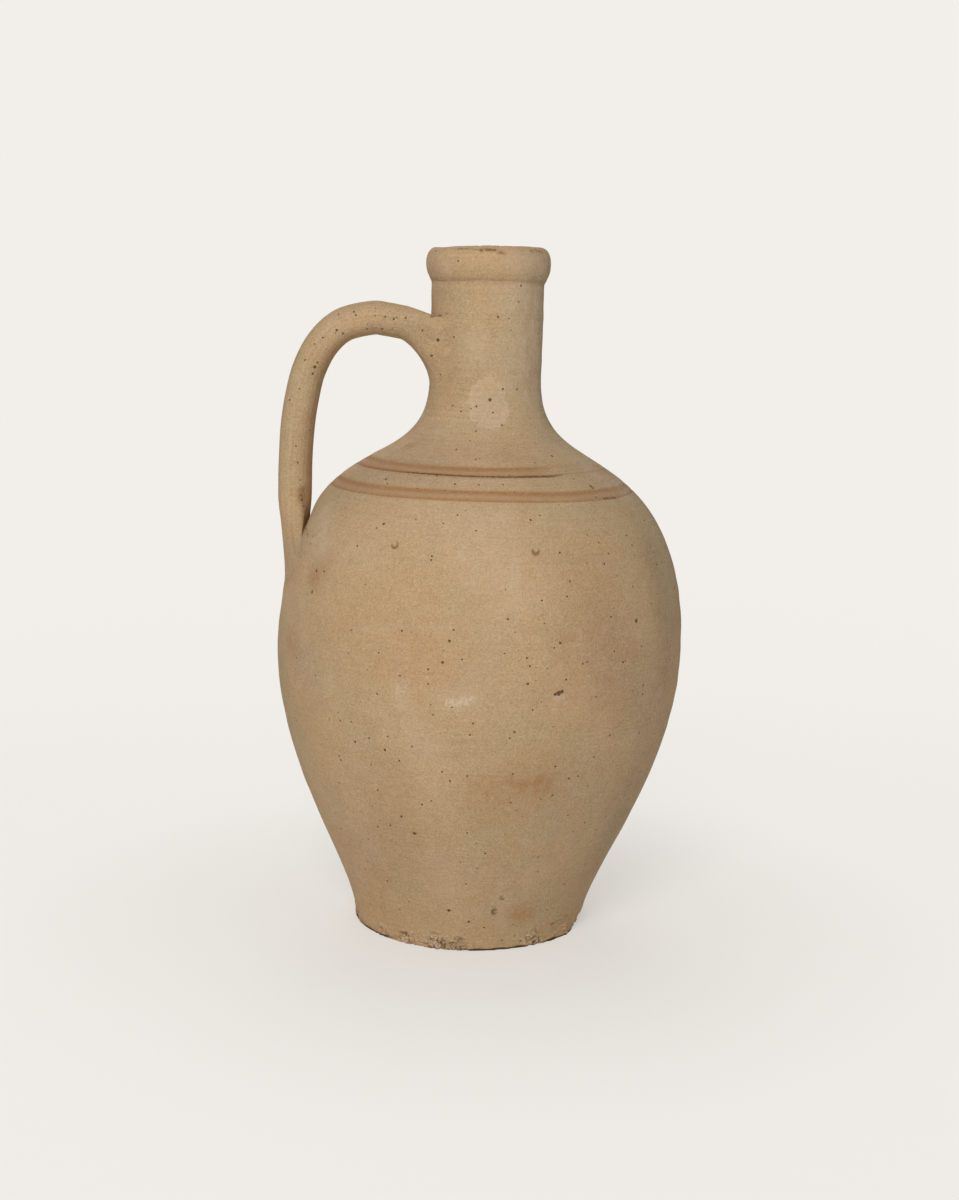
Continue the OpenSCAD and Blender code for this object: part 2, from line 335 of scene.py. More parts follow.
def give(mesh, key, values):
    """Keeps one number for each point, for the material to read."""
    mesh.attributes.new(key, "FLOAT", "POINT").data.foreach_set("value", np.asarray(values, np.float32))


def make_piece(name, rows, closed, sharp, attributes):
    """A closed skin over rows of points in millimetres, each of which wraps round. closed joins the last
    row to the first; else both end rows are capped. Edges along a row in sharp stay sharp."""
    count, columns = rows.shape[:2]
    i = np.arange(count if closed else count - 1)[:, None] * columns
    j = np.arange(columns)[None, :]
    above, beside = (i + columns) % (count * columns), (j + 1) % columns
    faces = np.stack([i + j, i + beside, above + beside, above + j], -1).reshape(-1, 4).tolist()
    if not closed:
        faces += [list(range(columns))[::-1], list(range((count - 1) * columns, count * columns))]
    mesh = bpy.data.meshes.new(name)
    mesh.from_pydata((rows.reshape(-1, 3) * MM).tolist(), [], faces)
    mesh.polygons.foreach_set("use_smooth", np.ones(len(mesh.polygons), bool))
    ends = np.empty(len(mesh.edges) * 2, np.int32)
    mesh.edges.foreach_get("vertices", ends)
    row = ends.reshape(-1, 2) // columns
    along = (row[:, 0] == row[:, 1]) & np.isin(row[:, 0], [s % count for s in sharp])
    mesh.attributes.new("sharp_edge", "BOOLEAN", "EDGE").data.foreach_set("value", along)
    for key, values in attributes.items():
        give(mesh, key, values)
    mesh.validate()
    mesh.update()
    return shown(name, mesh)


def turned_piece(name, stretches, outside, sharp, closed=True):
    """A section of the vessel. Its first `outside` rows show."""
    rows = np.concatenate(stretches)
    return make_piece(name, rows, closed, sharp, paint(rows.reshape(-1, 3), outside * COLUMNS))


def paint(points, outside):
    """Attributes that the clay's colour reads. Points past `outside` are inner faces."""
    theta = np.arctan2(points[:, 0] - lean(points[:, 2]), -points[:, 1])
    z = points[:, 2] - lift(theta, points[:, 2])
    masks = {"low_band": band_mask(theta, z, LOW_BAND, 0.70),
             "high_band": high_mask(theta, z),
             "cut": cut_line(theta, z),
             "crumb": crumb(theta, z),
             # The undercut_shadow mask is painted shadow in the hollow line along the bottom edge.
             "undercut_shadow": undercut(theta, z),
             # The crease mask is painted shade in the crease under the collar.
             "crease": bump(z - COLLAR_BASE - 0.2, 2.0)}
    return {key: mask * (np.arange(len(points)) < outside) for key, mask in masks.items()}


def ribs(theta, z):
    """Finger ribs inside the wall, and the back of the pressed place, as shifts towards the axis."""
    return 0.5 * cells(theta * 0, (z + 5 * theta / math.pi) / 9, 1, SEED + 11) + hollow(theta, z, PRESSED)


def up_to(line, low, high):
    """The part of a climbing line between two heights."""
    keep = (line[:, 1] > low) & (line[:, 1] < high)
    ends = [(np.interp(h, line[:, 1], line[:, 0]), h) for h in (low, high)]
    return np.concatenate([[ends[0]], line[keep], [ends[1]]])


def wall_piece(name, outer, inner, fine):
    """A closed ring of the body's wall: outer climbs, inner is given climbing too and is walked down."""
    outer, inner = spaced(outer, ROW, fine), spaced(inner, INNER_ROW)[::-1]
    n = len(outer)
    return turned_piece(name, [place(outer, relief), place(inner, ribs)], n, (0, n - 1, n, -1))


def lower_body():
    inner = inside(LOWER, BODY_WALL, BODY_WALL)
    outer, inner = (up_to(line, SLAB_EDGE, BELLY_H) for line in (LOWER, inner))
    return wall_piece("lower_body_clay", outer, inner, [(0, 6)])


def upper_body():
    return wall_piece("upper_body_clay", UPPER, inside(UPPER, BODY_WALL, BODY_WALL), [(SHOULDER_H, 0.5)])


def neck():
    """The cone and the tube, with the spigot that stands inside the collar."""
    top = JAR_H - LIP
    bands = [(low + tall / 2, tall / 2) for low, tall, _ in (LOW_BAND, HIGH_BAND)]
    outer = spaced(np.concatenate([CONE, TUBE[1:]]), NECK_ROW, bands)
    inner = np.concatenate([inside(CONE, BODY_WALL, NECK_WALL), [(THROAT_R, top)]])
    inner = spaced(inner, NECK_INNER_ROW)[::-1]
    spigot = np.array([(SPIGOT_R, COLLAR_BASE), (SPIGOT_R, top)])
    n = len(outer)
    return turned_piece("neck_clay", [place(outer, relief), place(spigot), place(inner, ribs)], n,
                        (0, n - 1, n, n + 1, n + 2, -1))


def rim_collar():
    """A rolled bead with a worn and chipped top edge."""
    middle_x, bead_h, lip_r = SPIGOT_R + 1.0, COLLAR_H / 2, 2.2
    reach = NECK_R + COLLAR_PROUD - middle_x
    turn = np.radians(np.linspace(-90, 90, 90))
    bead = np.stack([middle_x + reach * np.cos(turn), COLLAR_BASE + bead_h + bead_h * np.sin(turn)], 1)
    bead = bead[(bead[:, 0] >= NECK_R + 1.6) | (turn > 0)]
    over = np.radians(np.linspace(90, 180, 14))
    lip = np.stack([THROAT_R + lip_r + lip_r * np.cos(over), JAR_H - lip_r + lip_r * np.sin(over)], 1)
    # Clay smeared from the bead on to the neck, as steps out from the neck and up from the crease
    smear = np.array([(-0.5, -0.9), (0.15, -0.8), (0.55, 0), (1.1, 0.9)]) + (NECK_R, COLLAR_BASE)
    outside = np.concatenate([smear, bead, [(middle_x - 0.8, JAR_H)], lip, [(THROAT_R, JAR_H - LIP)]])
    outside = spaced(outside, COLLAR_ROW)

    def worn(theta, z):
        turn = theta / TURN
        edge = smooth((z - (JAR_H - 3.5)) / 3)
        chips = np.clip(cells(turn, z / 1.6, 70, 41) + 0.4 * cells(turn, z / 0.8, 170, 42) - 0.45, 0, 1)
        wavy = 0.25 * cells(turn, z / 8, 9, 43) + 0.10 * cells(turn, z / 3, 40, 44)
        return wavy - 0.55 * chips * edge - 0.25 * edge * smooth(cells(turn, z * 0, 12, 45))

    back = np.array([(SPIGOT_R, JAR_H - LIP), (SPIGOT_R, COLLAR_BASE)])
    n = len(outside)
    return turned_piece("rim_collar_clay", [place(outside, worn), place(back)], n, (0, n - 1, n, n + 1))


def base_slab():
    """The slab: a wire-cut underside, the torn edge, and the floor inside the wall."""
    boss, recess, clear, core = FOOT_R - BODY_WALL, 2.6, 0.28, 3
    bottom = place(np.array([(r, 0.0) for r in np.linspace(core, FOOT_R - recess, 26)]))
    radius = np.hypot(bottom[:-2, :, 0], bottom[:-2, :, 1])
    bottom[:-2, :, 2] = clear + 0.25 * cells(0 * radius, radius / 3.2, 1, 51)
    edge = place(spaced(up_to(LOWER, 0.15, SLAB_EDGE), EDGE_ROW), relief)
    top = [(boss, SLAB_EDGE), (boss, FLOOR)] + [(r, FLOOR) for r in np.linspace(boss - 6, core, 8)]
    low, high = len(bottom), len(bottom) + len(edge)
    return turned_piece("base_slab_clay", [bottom, edge, place(np.array(top))], high,
                        (low - 1, low, high - 1, high, high + 1), closed=False)


# Handle

AROUND = 96
PHI = np.linspace(0, TURN, AROUND, endpoint=False)
COS, SIN = np.cos(PHI), np.sin(PHI)
SHARE = PHI / TURN


def powered(x, power):
    """x to a power, with its sign kept."""
    return np.sign(x) * np.abs(x) ** power


def catmull(points, steps):
    """A smooth line through the points, with `steps` samples between neighbours."""
    p = np.asarray(points, float)
    p = np.concatenate([[2 * p[0] - p[1]], p, [2 * p[-1] - p[-2]]])
    out = []
    for i in range(1, len(p) - 2):
        a, b, c, d = p[i - 1:i + 3]
        for t in np.arange(steps) / steps:
            out.append(0.5 * (2 * b + (c - a) * t + (2 * a - 5 * b + 4 * c - d) * t ** 2
                              + (3 * b - a - 3 * c + d) * t ** 3))
    return np.array(out + [p[-2]])


def handle_path():
    """The strap's middle line with its direction at each sample and the distance along it."""
    line = catmull(HANDLE_LINE, 11)
    return line, ways_of(line), length_along(line)


def strap_ring(middle, way, along):
    """One ring of the strap: a flatter inner face, a shallow channel outside and a little unevenness."""
    half_t, half_w = STRAP_T / 2, STRAP_W / 2
    power = 2 / np.where(COS < 0, 2.3, 2.2)
    out, across = half_t * powered(COS, power), half_w * powered(SIN, power)
    swell = 1 + 0.018 * cells(SHARE, np.full(AROUND, along / 14.0), 5, 61)
    channel = 0.35 * np.exp(-((across / half_w) / 0.28) ** 2) * (COS > 0)
    out, across = out * swell - channel, across * swell
    return np.stack([middle[0] + out * way[1], across, middle[1] - out * way[0]], 1)


def strap_end(last):
    """The ring at one end of the strap and the direction in which it leaves the strap."""
    line, way, along = handle_path()
    i = -1 if last else 0
    out = way[i] if last else -way[i]
    return strap_ring(line[i], way[i], along[i]), np.array((out[0], 0.0, out[1]))


def handle_piece(name, rings, sharp=()):
    """A closed skin over rings, with the place around the strap kept for the material."""
    around = np.tile(SHARE, len(rings))
    return make_piece(name, np.array(rings), False, (0, -1) + sharp, {"around": around})


def handle():
    return handle_piece("handle_clay", [strap_ring(*station) for station in zip(*handle_path())])


def on_vessel(y, z, sunk):
    """The point of the vessel's left face at the given y and height, sunk into the clay."""
    n = normals_of(OUTER)
    radius, out, up = (np.interp(z, OUTER[:, 1], values) for values in (OUTER[:, 0], n[:, 0], n[:, 1]))
    d = relief(LEFT + y / radius, z) - sunk
    r, z = radius + d * out, z + d * up
    x = lean(z) - np.sqrt(np.maximum(r * r - y * y, 1.0))
    return np.stack([x, y, z + lift(np.full_like(z, LEFT), z)], 1)


def wad_rings(start, way, k0, k1, print_at, steps):
    """Rings that leave the strap's end along `way` and arrive along the vessel's face. print_at(scale,
    sunk) gives the wad's print on the vessel; k0 and k1 say how long each end holds its direction."""
    end = print_at(1.0, 0.25)
    out = print_at(1.03, 0.25) - end
    out /= np.maximum(np.linalg.norm(out, axis=1), 1e-6)[:, None]
    p1, p2 = start + k0[:, None] * way, end - k1[:, None] * out
    rings = []
    for t in np.linspace(0, 1, steps):
        ring = (1 - t) ** 3 * start + 3 * t * (1 - t) ** 2 * p1 + 3 * t * t * (1 - t) * p2 + t ** 3 * end
        for axis, across, seed in ((2, 7, 62), (1, 6, 63)):
            push = 0.35 * math.sin(math.pi * t) ** 2
            ring[:, axis] += push * cells(SHARE, np.full(AROUND, t * 4.0), across, seed)
        rings.append(ring)
    return rings + [print_at(1.0, 0.8), print_at(0.9, 1.8)]


def handle_root_wad():
    """The strap's upper end: a crease above, a long fillet below."""
    start, out = strap_end(False)
    middle, half_w, above, below = ROOT_WAD

    def print_at(scale, sunk):
        y = scale * half_w * powered(SIN, 0.8)
        top = above * np.abs(COS) ** 0.25 + 0.08 * np.abs(y) * smooth(3 * COS)
        return on_vessel(y, middle + scale * np.where(COS > 0, top, -below * np.abs(COS) ** 0.8), sunk)

    k1 = 0.8 + 12.0 * smooth(-COS * 0.6 + 0.5) + 4.0 * np.abs(SIN) * smooth(0.5 - 2 * COS)
    rings = wad_rings(start, out, np.full(AROUND, 5.0), k1, print_at, 30)
    return handle_piece("handle_root_wad_clay", rings[::-1], (2,))


def handle_foot_wad():
    """The strap's tail: a deep crease in the finger gap, smeared over the shoulder below and in front."""
    start, out = strap_end(True)
    middle, half_w, above, below = FOOT_WAD
    front, behind = smooth(-1.3 * SIN), smooth(1.3 * SIN)

    def print_at(scale, sunk):
        z = middle - scale * np.where(COS > 0, below * np.abs(COS) ** 0.9, -above * np.abs(COS) ** 1.7)
        y = scale * (half_w + SMEAR_FRONT * front + SMEAR_BEHIND * behind) * powered(SIN, 0.85)
        return on_vessel(y, z, sunk)

    tail = smooth(COS * 0.8 + 0.2)
    k0 = 6.0 + 6.0 * tail + 4.0 * np.abs(SIN)
    k1 = 1.5 + 12.0 * tail + 2.0 * np.abs(SIN) + 8.0 * (front + 0.7 * behind) * smooth(COS + 0.9)
    rings = wad_rings(start, out, k0, k1, print_at, 40)
    return handle_piece("handle_foot_wad_clay", rings, (-3,))


# Camera and the places seen in the photograph

def camera_axes():
    ahead = (AIM - EYE).normalized()
    level = ahead.cross(Vector((0, 0, 1))).normalized()
    upright = level.cross(ahead)
    right = math.cos(ROLL) * level + math.sin(ROLL) * upright
    up = math.cos(ROLL) * upright - math.sin(ROLL) * level
    return ahead, right, up


def add_camera():
    ahead, right, up = camera_axes()
    data = bpy.data.cameras.new("camera")
    data.sensor_fit = "AUTO"
    data.sensor_width = SENSOR
    data.lens = FOCAL_PX * SENSOR / max(PHOTO_W, PHOTO_H)
    data.clip_end = 50
    camera = shown("camera", data)
    turn = Matrix((right, up, -ahead)).transposed().to_4x4()
    camera.matrix_world = Matrix.Translation(EYE * MM) @ turn
    bpy.context.scene.camera = camera


def seen_at(tree, px, py):
    """The point of the jar at a pixel of the photograph, in millimetres."""
    ahead, right, up = camera_axes()
    way = ahead * FOCAL_PX + right * (px - PHOTO_W / 2) - up * (py - PHOTO_H / 2)
    hit = tree.ray_cast(EYE * MM, way.normalized())[0]
    return None if hit is None else np.array(hit) / MM


def points_of(mesh):
    """The mesh's points in metres."""
    points = np.empty(len(mesh.vertices) * 3)
    mesh.vertices.foreach_get("co", points)
    return points.reshape(-1, 3)


def tree_of(pieces):
    points, faces = [], []
    for piece in pieces:
        base = len(points)
        points += points_of(piece.data).tolist()
        faces += [[v + base for v in polygon.vertices] for polygon in piece.data.polygons]
    return BVHTree.FromPolygons(points, faces)


# Stains, painted shade and painted light, as (x, y, x, y in the photograph, radius in mm, strength)
# Red stains; the one along the strap's inner face near its tail is painted warm light bounced from the
# clay.
RED_STAINS_AND_PAINTED_BOUNCE = [
    (314, 578, 327, 562, 5.5, 0.8), (313, 580, 320, 570, 2.6, 0.7), (485, 796, 545, 780, 15, 0.36),
    (508, 791, 542, 783, 8, 0.66), (530, 784, 544, 778, 4, 0.35), (488, 796, 504, 800, 4, 0.6),
    (301, 492, 305, 520, 2.2, 0.7), (357, 912, 365, 925, 2.2, 0.7), (385, 934, 412, 944, 2.2, 0.5),
    (515, 914, 525, 914, 5, 0.7), (292, 640, 294, 655, 7, 0.45), (407, 446, 411, 446, 2.6, 0.6),
    (590, 634, 596, 630, 3.6, 0.5), (560, 560, 590, 570, 14, 0.2), (380, 640, 430, 650, 22, 0.16),
    (560, 640, 572, 636, 3.5, 0.35), (484, 249, 492, 250, 1.3, 0.7), (497, 251, 505, 254, 1.3, 0.6),
    (475, 605, 490, 600, 6, 0.22), (604, 620, 612, 640, 12, 0.2), (570, 680, 590, 700, 16, 0.3),
    (385, 800, 415, 840, 18, 0.2)]
WARM_PATCHES = [
    (350, 600, 420, 660, 30, 0.7), (440, 320, 446, 400, 9, 0.7), (600, 600, 640, 590, 20, 0.5),
    (372, 908, 400, 920, 11, 0.8), (470, 640, 520, 650, 30, 0.4), (300, 700, 320, 740, 14, 0.5),
    (470, 260, 510, 264, 11, 0.6), (330, 520, 400, 540, 16, 0.3)]
# Painted shade: patches that darken the clay where the jar falls into shade, most of all on the right of
# the body, on the handle's arch and round the neck and shoulder. On the sides that don't show they are
# random.
PAINTED_SHADE_PATCHES = [
    (352, 482, 425, 468, 17, 0.9), (600, 630, 640, 700, 22, 1.2), (646, 710, 606, 850, 16, 0.9),
    (436, 264, 540, 268, 9, 0.5), (655, 560, 662, 680, 12, 1.3), (446, 296, 450, 400, 8, 0.6),
    (345, 760, 335, 800, 9, 0.4), (385, 330, 425, 330, 6, 1.3), (350, 304, 425, 306, 5, 1.4),
    (365, 455, 430, 450, 13, 0.8), (560, 690, 575, 694, 6, 0.5), (306, 665, 314, 695, 11, 0.6),
    (385, 760, 400, 860, 20, 0.5), (316, 570, 322, 590, 8, 0.4), (430, 446, 510, 452, 12, 0.5),
    (560, 800, 600, 760, 18, 0.4), (400, 925, 440, 935, 12, 0.5)]
# Pale stains, and painted light: some of these lighten the clay where the jar is lit more, on the right
# of the neck, the right of the shoulder and the upper right of the body.
PALE_STAINS_AND_PAINTED_LIGHT = [
    (446, 702, 474, 701, 6.0, 0.6), (400, 688, 404, 706, 4.5, 0.5), (412, 733, 428, 750, 8, 0.6),
    (365, 628, 450, 628, 2.0, 0.6), (503, 885, 503, 922, 4.5, 0.6), (480, 352, 508, 360, 9, 0.7),
    (516, 262, 540, 274, 7, 0.9), (438, 262, 446, 268, 4, 0.7), (512, 300, 520, 340, 9, 0.7),
    (536, 364, 538, 396, 5, 1.0), (538, 300, 537, 400, 7, 1.3), (522, 292, 527, 372, 9, 1.1),
    (516, 384, 532, 402, 6, 1.1), (514, 560, 514, 600, 4, 0.6), (470, 524, 500, 520, 9, 0.5),
    (324, 515, 324, 560, 6, 0.8), (590, 466, 622, 490, 10, 0.8), (655, 530, 668, 590, 10, 0.5),
    (349, 872, 345, 880, 4, 0.6), (480, 560, 490, 620, 14, 0.3), (540, 420, 560, 445, 8, 0.5),
    (430, 870, 470, 880, 12, 0.3)]
FLAKED = [(488, 397, 489, 411, 8.6, 0.85), (556, 698, 563, 697, 1.1, 0.8)]
LIME_SPOTS = [
    (450, 703, 470, 700, 2.8, 1.0), (398, 688, 402, 698, 3.6, 0.6), (414, 738, 424, 748, 4.8, 0.45),
    (444, 705, 450, 705, 1.6, 0.8)]
# Dirt, and painted shade: the creases where the handle's ends meet the jar and the strap's inner face are
# painted dark as shade, and the rest are dirt.
DIRT_AND_PAINTED_SHADE = [
    (458, 249, 478, 249.3, 0.7, 0.5), (359, 917, 364, 924, 1.6, 0.5), (551, 924, 568, 914.5, 0.7, 0.6),
    (481, 250, 482, 251, 0.8, 0.8), (486, 250, 495, 250, 0.9, 0.7), (499, 253, 503, 253, 1.0, 0.6),
    (531, 251, 542, 252, 1.2, 0.45), (494, 908, 494, 914, 1.3, 0.55), (501, 897, 503, 899, 1.1, 0.6),
    (431, 316.5, 440, 316, 0.8, 1.0), (440, 316, 448, 313.5, 0.7, 0.6),
    (311.5, 508, 306.5, 527, 0.9, 0.8), (306.5, 527, 308.5, 536, 0.6, 0.8),
    (302, 490, 305, 515, 3.0, 0.4), (311, 537, 318, 534, 0.4, 0.6), (450, 268, 500, 275, 12, 0.12),
    (604, 499, 615, 498, 0.8, 0.8)]

# Crescent scars, as (x, y in the photograph, radius in mm, way of the opening to the right and up), and
# scratches, as (x, y, x, y in the photograph, half width in mm)
SCARS = [
    (394.7, 545.3, 2.7, -0.1, 0.32), (536, 551.3, 2.8, 0.0, 0.4), (592, 486.8, 1.9, 0.4, 0.4),
    (636.5, 620.5, 1.7, 0.2, 0.3), (494.5, 912, 2.6, 0.2, 0.0)]
SCRATCHES = [
    (362, 629, 452, 627, 0.4), (517, 567, 516, 600, 0.32), (512, 565, 511.5, 590, 0.3),
    (500, 577, 505, 579, 0.2), (543, 839, 570, 836, 0.28), (570, 836, 594, 833, 0.28),
    (354, 866, 362, 880, 0.45), (362, 880, 369, 890, 0.4), (498, 407, 516, 405, 0.28),
    (516, 405, 535, 407, 0.28), (509, 385, 520, 398, 0.22), (514, 383, 526, 396, 0.22),
    (510, 392, 520, 384, 0.2), (516, 399, 527, 389, 0.2), (358, 869, 352, 858, 0.4)]

# Pits, as the places (x, y) in the photograph for each radius in mm
PITS = {
    0.5: [(503, 484.5)],
    0.6: [
        (493, 412.5), (476, 431), (461, 411.5), (519, 302), (458, 261), (521, 286), (431, 356),
        (440.5, 374.5), (431, 560), (542, 600.5), (508, 619), (462, 659.5), (504.5, 653.5), (530, 666),
        (611, 617), (656.5, 564.5), (652, 576), (587.5, 662), (567, 596.5), (570, 581.5), (442, 772),
        (450, 781), (431, 801), (339, 783), (412, 746.5), (473, 723.5), (470, 735), (568, 815),
        (606, 816), (533, 710), (514.5, 732), (555.5, 766.5), (546.6, 910), (385.4, 316.8), (314.6, 344),
        (305, 360), (298, 462.6), (300, 480), (301.4, 495), (309.6, 430), (355.8, 315), (393.8, 319),
        (323, 337.5), (367, 329), (453.8, 337), (304, 506), (296, 446), (290, 400)],
    0.7: [
        (503, 389), (502, 425), (498, 317), (476, 459), (455, 484), (531, 520), (623, 662.5),
        (670, 659.5), (339, 756), (422, 804.5), (569, 778.5), (578, 776), (610, 735.5), (354, 311.6),
        (405.8, 317.8), (381.8, 329), (313, 373.6), (343, 333.5), (317.5, 362.5), (382.5, 328.8),
        (432, 355.5), (324, 571.5), (302, 500)],
    0.8: [
        (442.5, 662.5), (528, 684), (560.5, 643), (355, 742), (401.5, 816.5), (468.8, 921.8),
        (336.7, 330.2)],
    0.9: [(552, 456), (386, 479), (383.6, 524), (449.5, 641), (385, 750), (316.5, 571)],
    1.0: [(555.5, 694.5), (636.5, 620.5), (312, 592)],
    1.1: [(490, 400), (438, 340), (315, 367)],
    1.2: [(562, 691.5), (414.5, 833.5), (448.8, 910.6)],
    1.7: [(559, 693.5)]}

# Kinds of stain, painted shade and painted light: the ones above, and the count, radius and strength of
# those on the sides that don't show
STAINS = {
    "red": (RED_STAINS_AND_PAINTED_BOUNCE, 14, 5.0, 0.7), "pale": (PALE_STAINS_AND_PAINTED_LIGHT, 16, 7.0, 0.7),
    "dirt_and_shade": (DIRT_AND_PAINTED_SHADE, 8, 1.0, 0.7), "warm": (WARM_PATCHES, 14, 24.0, 0.7),
    "painted_shade": (PAINTED_SHADE_PATCHES, 12, 20.0, 0.5), "flaked": (FLAKED, 5, 4.0, 0.8),
    "lime": (LIME_SPOTS, 8, 3.0, 0.8)}
HIDDEN_ANGLES, HIDDEN_HEIGHTS = (math.radians(72), math.radians(288)), (8, 345)

# A scar's lump, beside the scar's middle, leaves a crescent; it has this share of the scar's radius
LUMP_SHARE = 0.78

# The handle's marks lie to the left of this x
HANDLE_SIDE = -14


def marks_between(tree, low, high, on_handle):
    """The pits, scars and scratches between two heights, placed on the jar; the handle has its own."""
    def there(p):
        return p is not None and low < p[2] < high and (not on_handle or p[0] < HANDLE_SIDE)

    def found(marks):
        marks = [(seen_at(tree, *mark[:2]), *mark[2:]) for mark in marks]
        return [mark for mark in marks if there(mark[0])]

    scars = found(SCARS)
    strokes = [(seen_at(tree, *s[:2]), seen_at(tree, *s[2:4]), s[4]) for s in SCRATCHES]
    return {"pits": found([(x, y, r) for r, places in PITS.items() for x, y in places]),
            "scars": [(p, r) for p, r, right, up in scars],
            "lumps": [(p + r * np.array([right, 0, up]), r * LUMP_SHARE) for p, r, right, up in scars],
            "scratches": [s for s in strokes if there(s[0]) and there(s[1])]}


def blob(points, a, b, radius):
    """1 along the stretch from a to b, falling to 0 at twice the radius."""
    way = b - a
    t = np.clip(((points - a) @ way) / max(way @ way, 1e-6), 0, 1)
    away = np.linalg.norm(points - a - t[:, None] * way, axis=1)
    return 1 - smooth(away / (2 * radius))


def hidden_stains(seed, count, radius, strength):
    """Random stains, as ends, radius and strength, on the sides that the photograph doesn't show."""
    rng = np.random.default_rng(seed)
    stains = []
    for _ in range(count):
        theta, z = rng.uniform(*HIDDEN_ANGLES), rng.uniform(*HIDDEN_HEIGHTS)
        r = np.interp(z, OUTER[:, 1], OUTER[:, 0])
        size = radius * rng.uniform(0.4, 1.2)
        middle = np.array([r * math.sin(theta), -r * math.cos(theta), z])
        way = np.array([math.cos(theta), math.sin(theta), rng.uniform(-0.5, 0.5)])
        along = way * size * rng.uniform(0, 1.6)
        stains.append((middle - along, middle + along, size, strength * rng.uniform(0.4, 1)))
    return stains


def stain(pieces, tree):
    """Paints the stains, the painted shade and the painted light as soft attributes, which the clay
    breaks up with noise.
    """
    for i, (key, (stains, *hidden)) in enumerate(STAINS.items()):
        ends = [(seen_at(tree, *s[:2]), seen_at(tree, *s[2:4]), *s[4:]) for s in stains]
        ends = [e for e in ends if e[0] is not None and e[1] is not None]
        ends += hidden_stains(SEED + 70 + i, *hidden)
        for piece in pieces:
            points = points_of(piece.data) / MM
            total = np.zeros(len(points))
            for a, b, radius, strength in ends:
                total = np.maximum(total, strength * blob(points, a, b, radius))
            give(piece.data, key, total)


# Materials

class Graph:
    """Short calls for building a node tree."""

    def __init__(self, tree):
        self.tree = tree
        self.colour = None

    def put(self, socket, value):
        if isinstance(value, bpy.types.NodeSocket):
            self.tree.links.new(value, socket)
        else:
            socket.default_value = value

    def node(self, kind, inputs=None, **settings):
        made = self.tree.nodes.new("ShaderNode" + kind)
        for key, value in settings.items():
            setattr(made, key, value)
        for key, value in (inputs or {}).items():
            self.put(made.inputs[key], value)
        return made

    def math(self, operation, a, b=0.0, c=0.0, clamp=False):
        return self.node("Math", {0: a, 1: b, 2: c}, operation=operation, use_clamp=clamp).outputs[0]

    def times(self, a, b):
        return self.math("MULTIPLY", a, b)

    def plus(self, base, value, share=1.0):
        """base and that share of value."""
        return self.math("MULTIPLY_ADD", value, share, base)

    def most(self, a, b):
        return self.math("MAXIMUM", a, b)

    def above(self, value, limit):
        return self.math("GREATER_THAN", value, limit)

    def vector(self, operation, a, b, c=(0.0, 0.0, 0.0)):
        return self.node("VectorMath", {0: a, 1: b, 2: c}, operation=operation).outputs[0]

    def measure(self, operation, a, b=(0.0, 0.0, 0.0)):
        """A length, distance or dot product."""
        return self.node("VectorMath", {0: a, 1: b}, operation=operation).outputs["Value"]

    def step(self, value, low, high, to_low=0.0, to_high=1.0):
        inputs = {"Value": value, "From Min": low, "From Max": high, "To Min": to_low, "To Max": to_high}
        return self.node("MapRange", inputs, interpolation_type="SMOOTHSTEP").outputs[0]

    def noise(self, where, scale, detail=2.0, rough=0.5, distort=0.0):
        inputs = {"Vector": where, "Scale": scale, "Detail": detail, "Roughness": rough}
        return self.node("TexNoise", {**inputs, "Distortion": distort}).outputs[0]

    def bent(self, where, scale, reach):
        """The place moved by noise, by 0 to `reach` each way."""
        shake = self.node("TexNoise", {"Vector": where, "Scale": scale, "Detail": 2.0})
        return self.vector("MULTIPLY_ADD", shake.outputs["Color"], (reach, reach, reach), where)

    def voronoi(self, where, scale, feature="F1"):
        inputs = {"Vector": where, "Scale": scale}
        return self.node("TexVoronoi", inputs, feature=feature).outputs

    def kept(self, scattered):
        """Three random values that each scattered point keeps."""
        return self.node("SeparateColor", {0: scattered["Color"]}).outputs

    def dots(self, where, scale, least, spread, rim, core):
        """Scattered dots of uneven size, and three random values for each."""
        scattered = self.voronoi(where, scale)
        kept = self.kept(scattered)
        away = self.math("DIVIDE", scattered["Distance"], self.plus(least, kept[1], spread))
        return self.step(away, rim, core), kept

    def mix(self, share, a, b, blend="MIX"):
        made = self.node("Mix", data_type="RGBA", blend_type=blend)
        for i, value in ((0, share), (6, a), (7, b)):
            self.put(made.inputs[i], value)
        return made.outputs[2]

    def attribute(self, name):
        return self.node("Attribute", attribute_name=name).outputs["Fac"]

    def lay(self, share, strength, other):
        """Lays another colour over what is there."""
        self.colour = self.mix(self.math("MULTIPLY", share, strength, clamp=True), self.colour, other)


def emptied(holder):
    """The emptied node tree of a material or a world."""
    holder.use_nodes = True
    holder.node_tree.nodes.clear()
    return Graph(holder.node_tree)


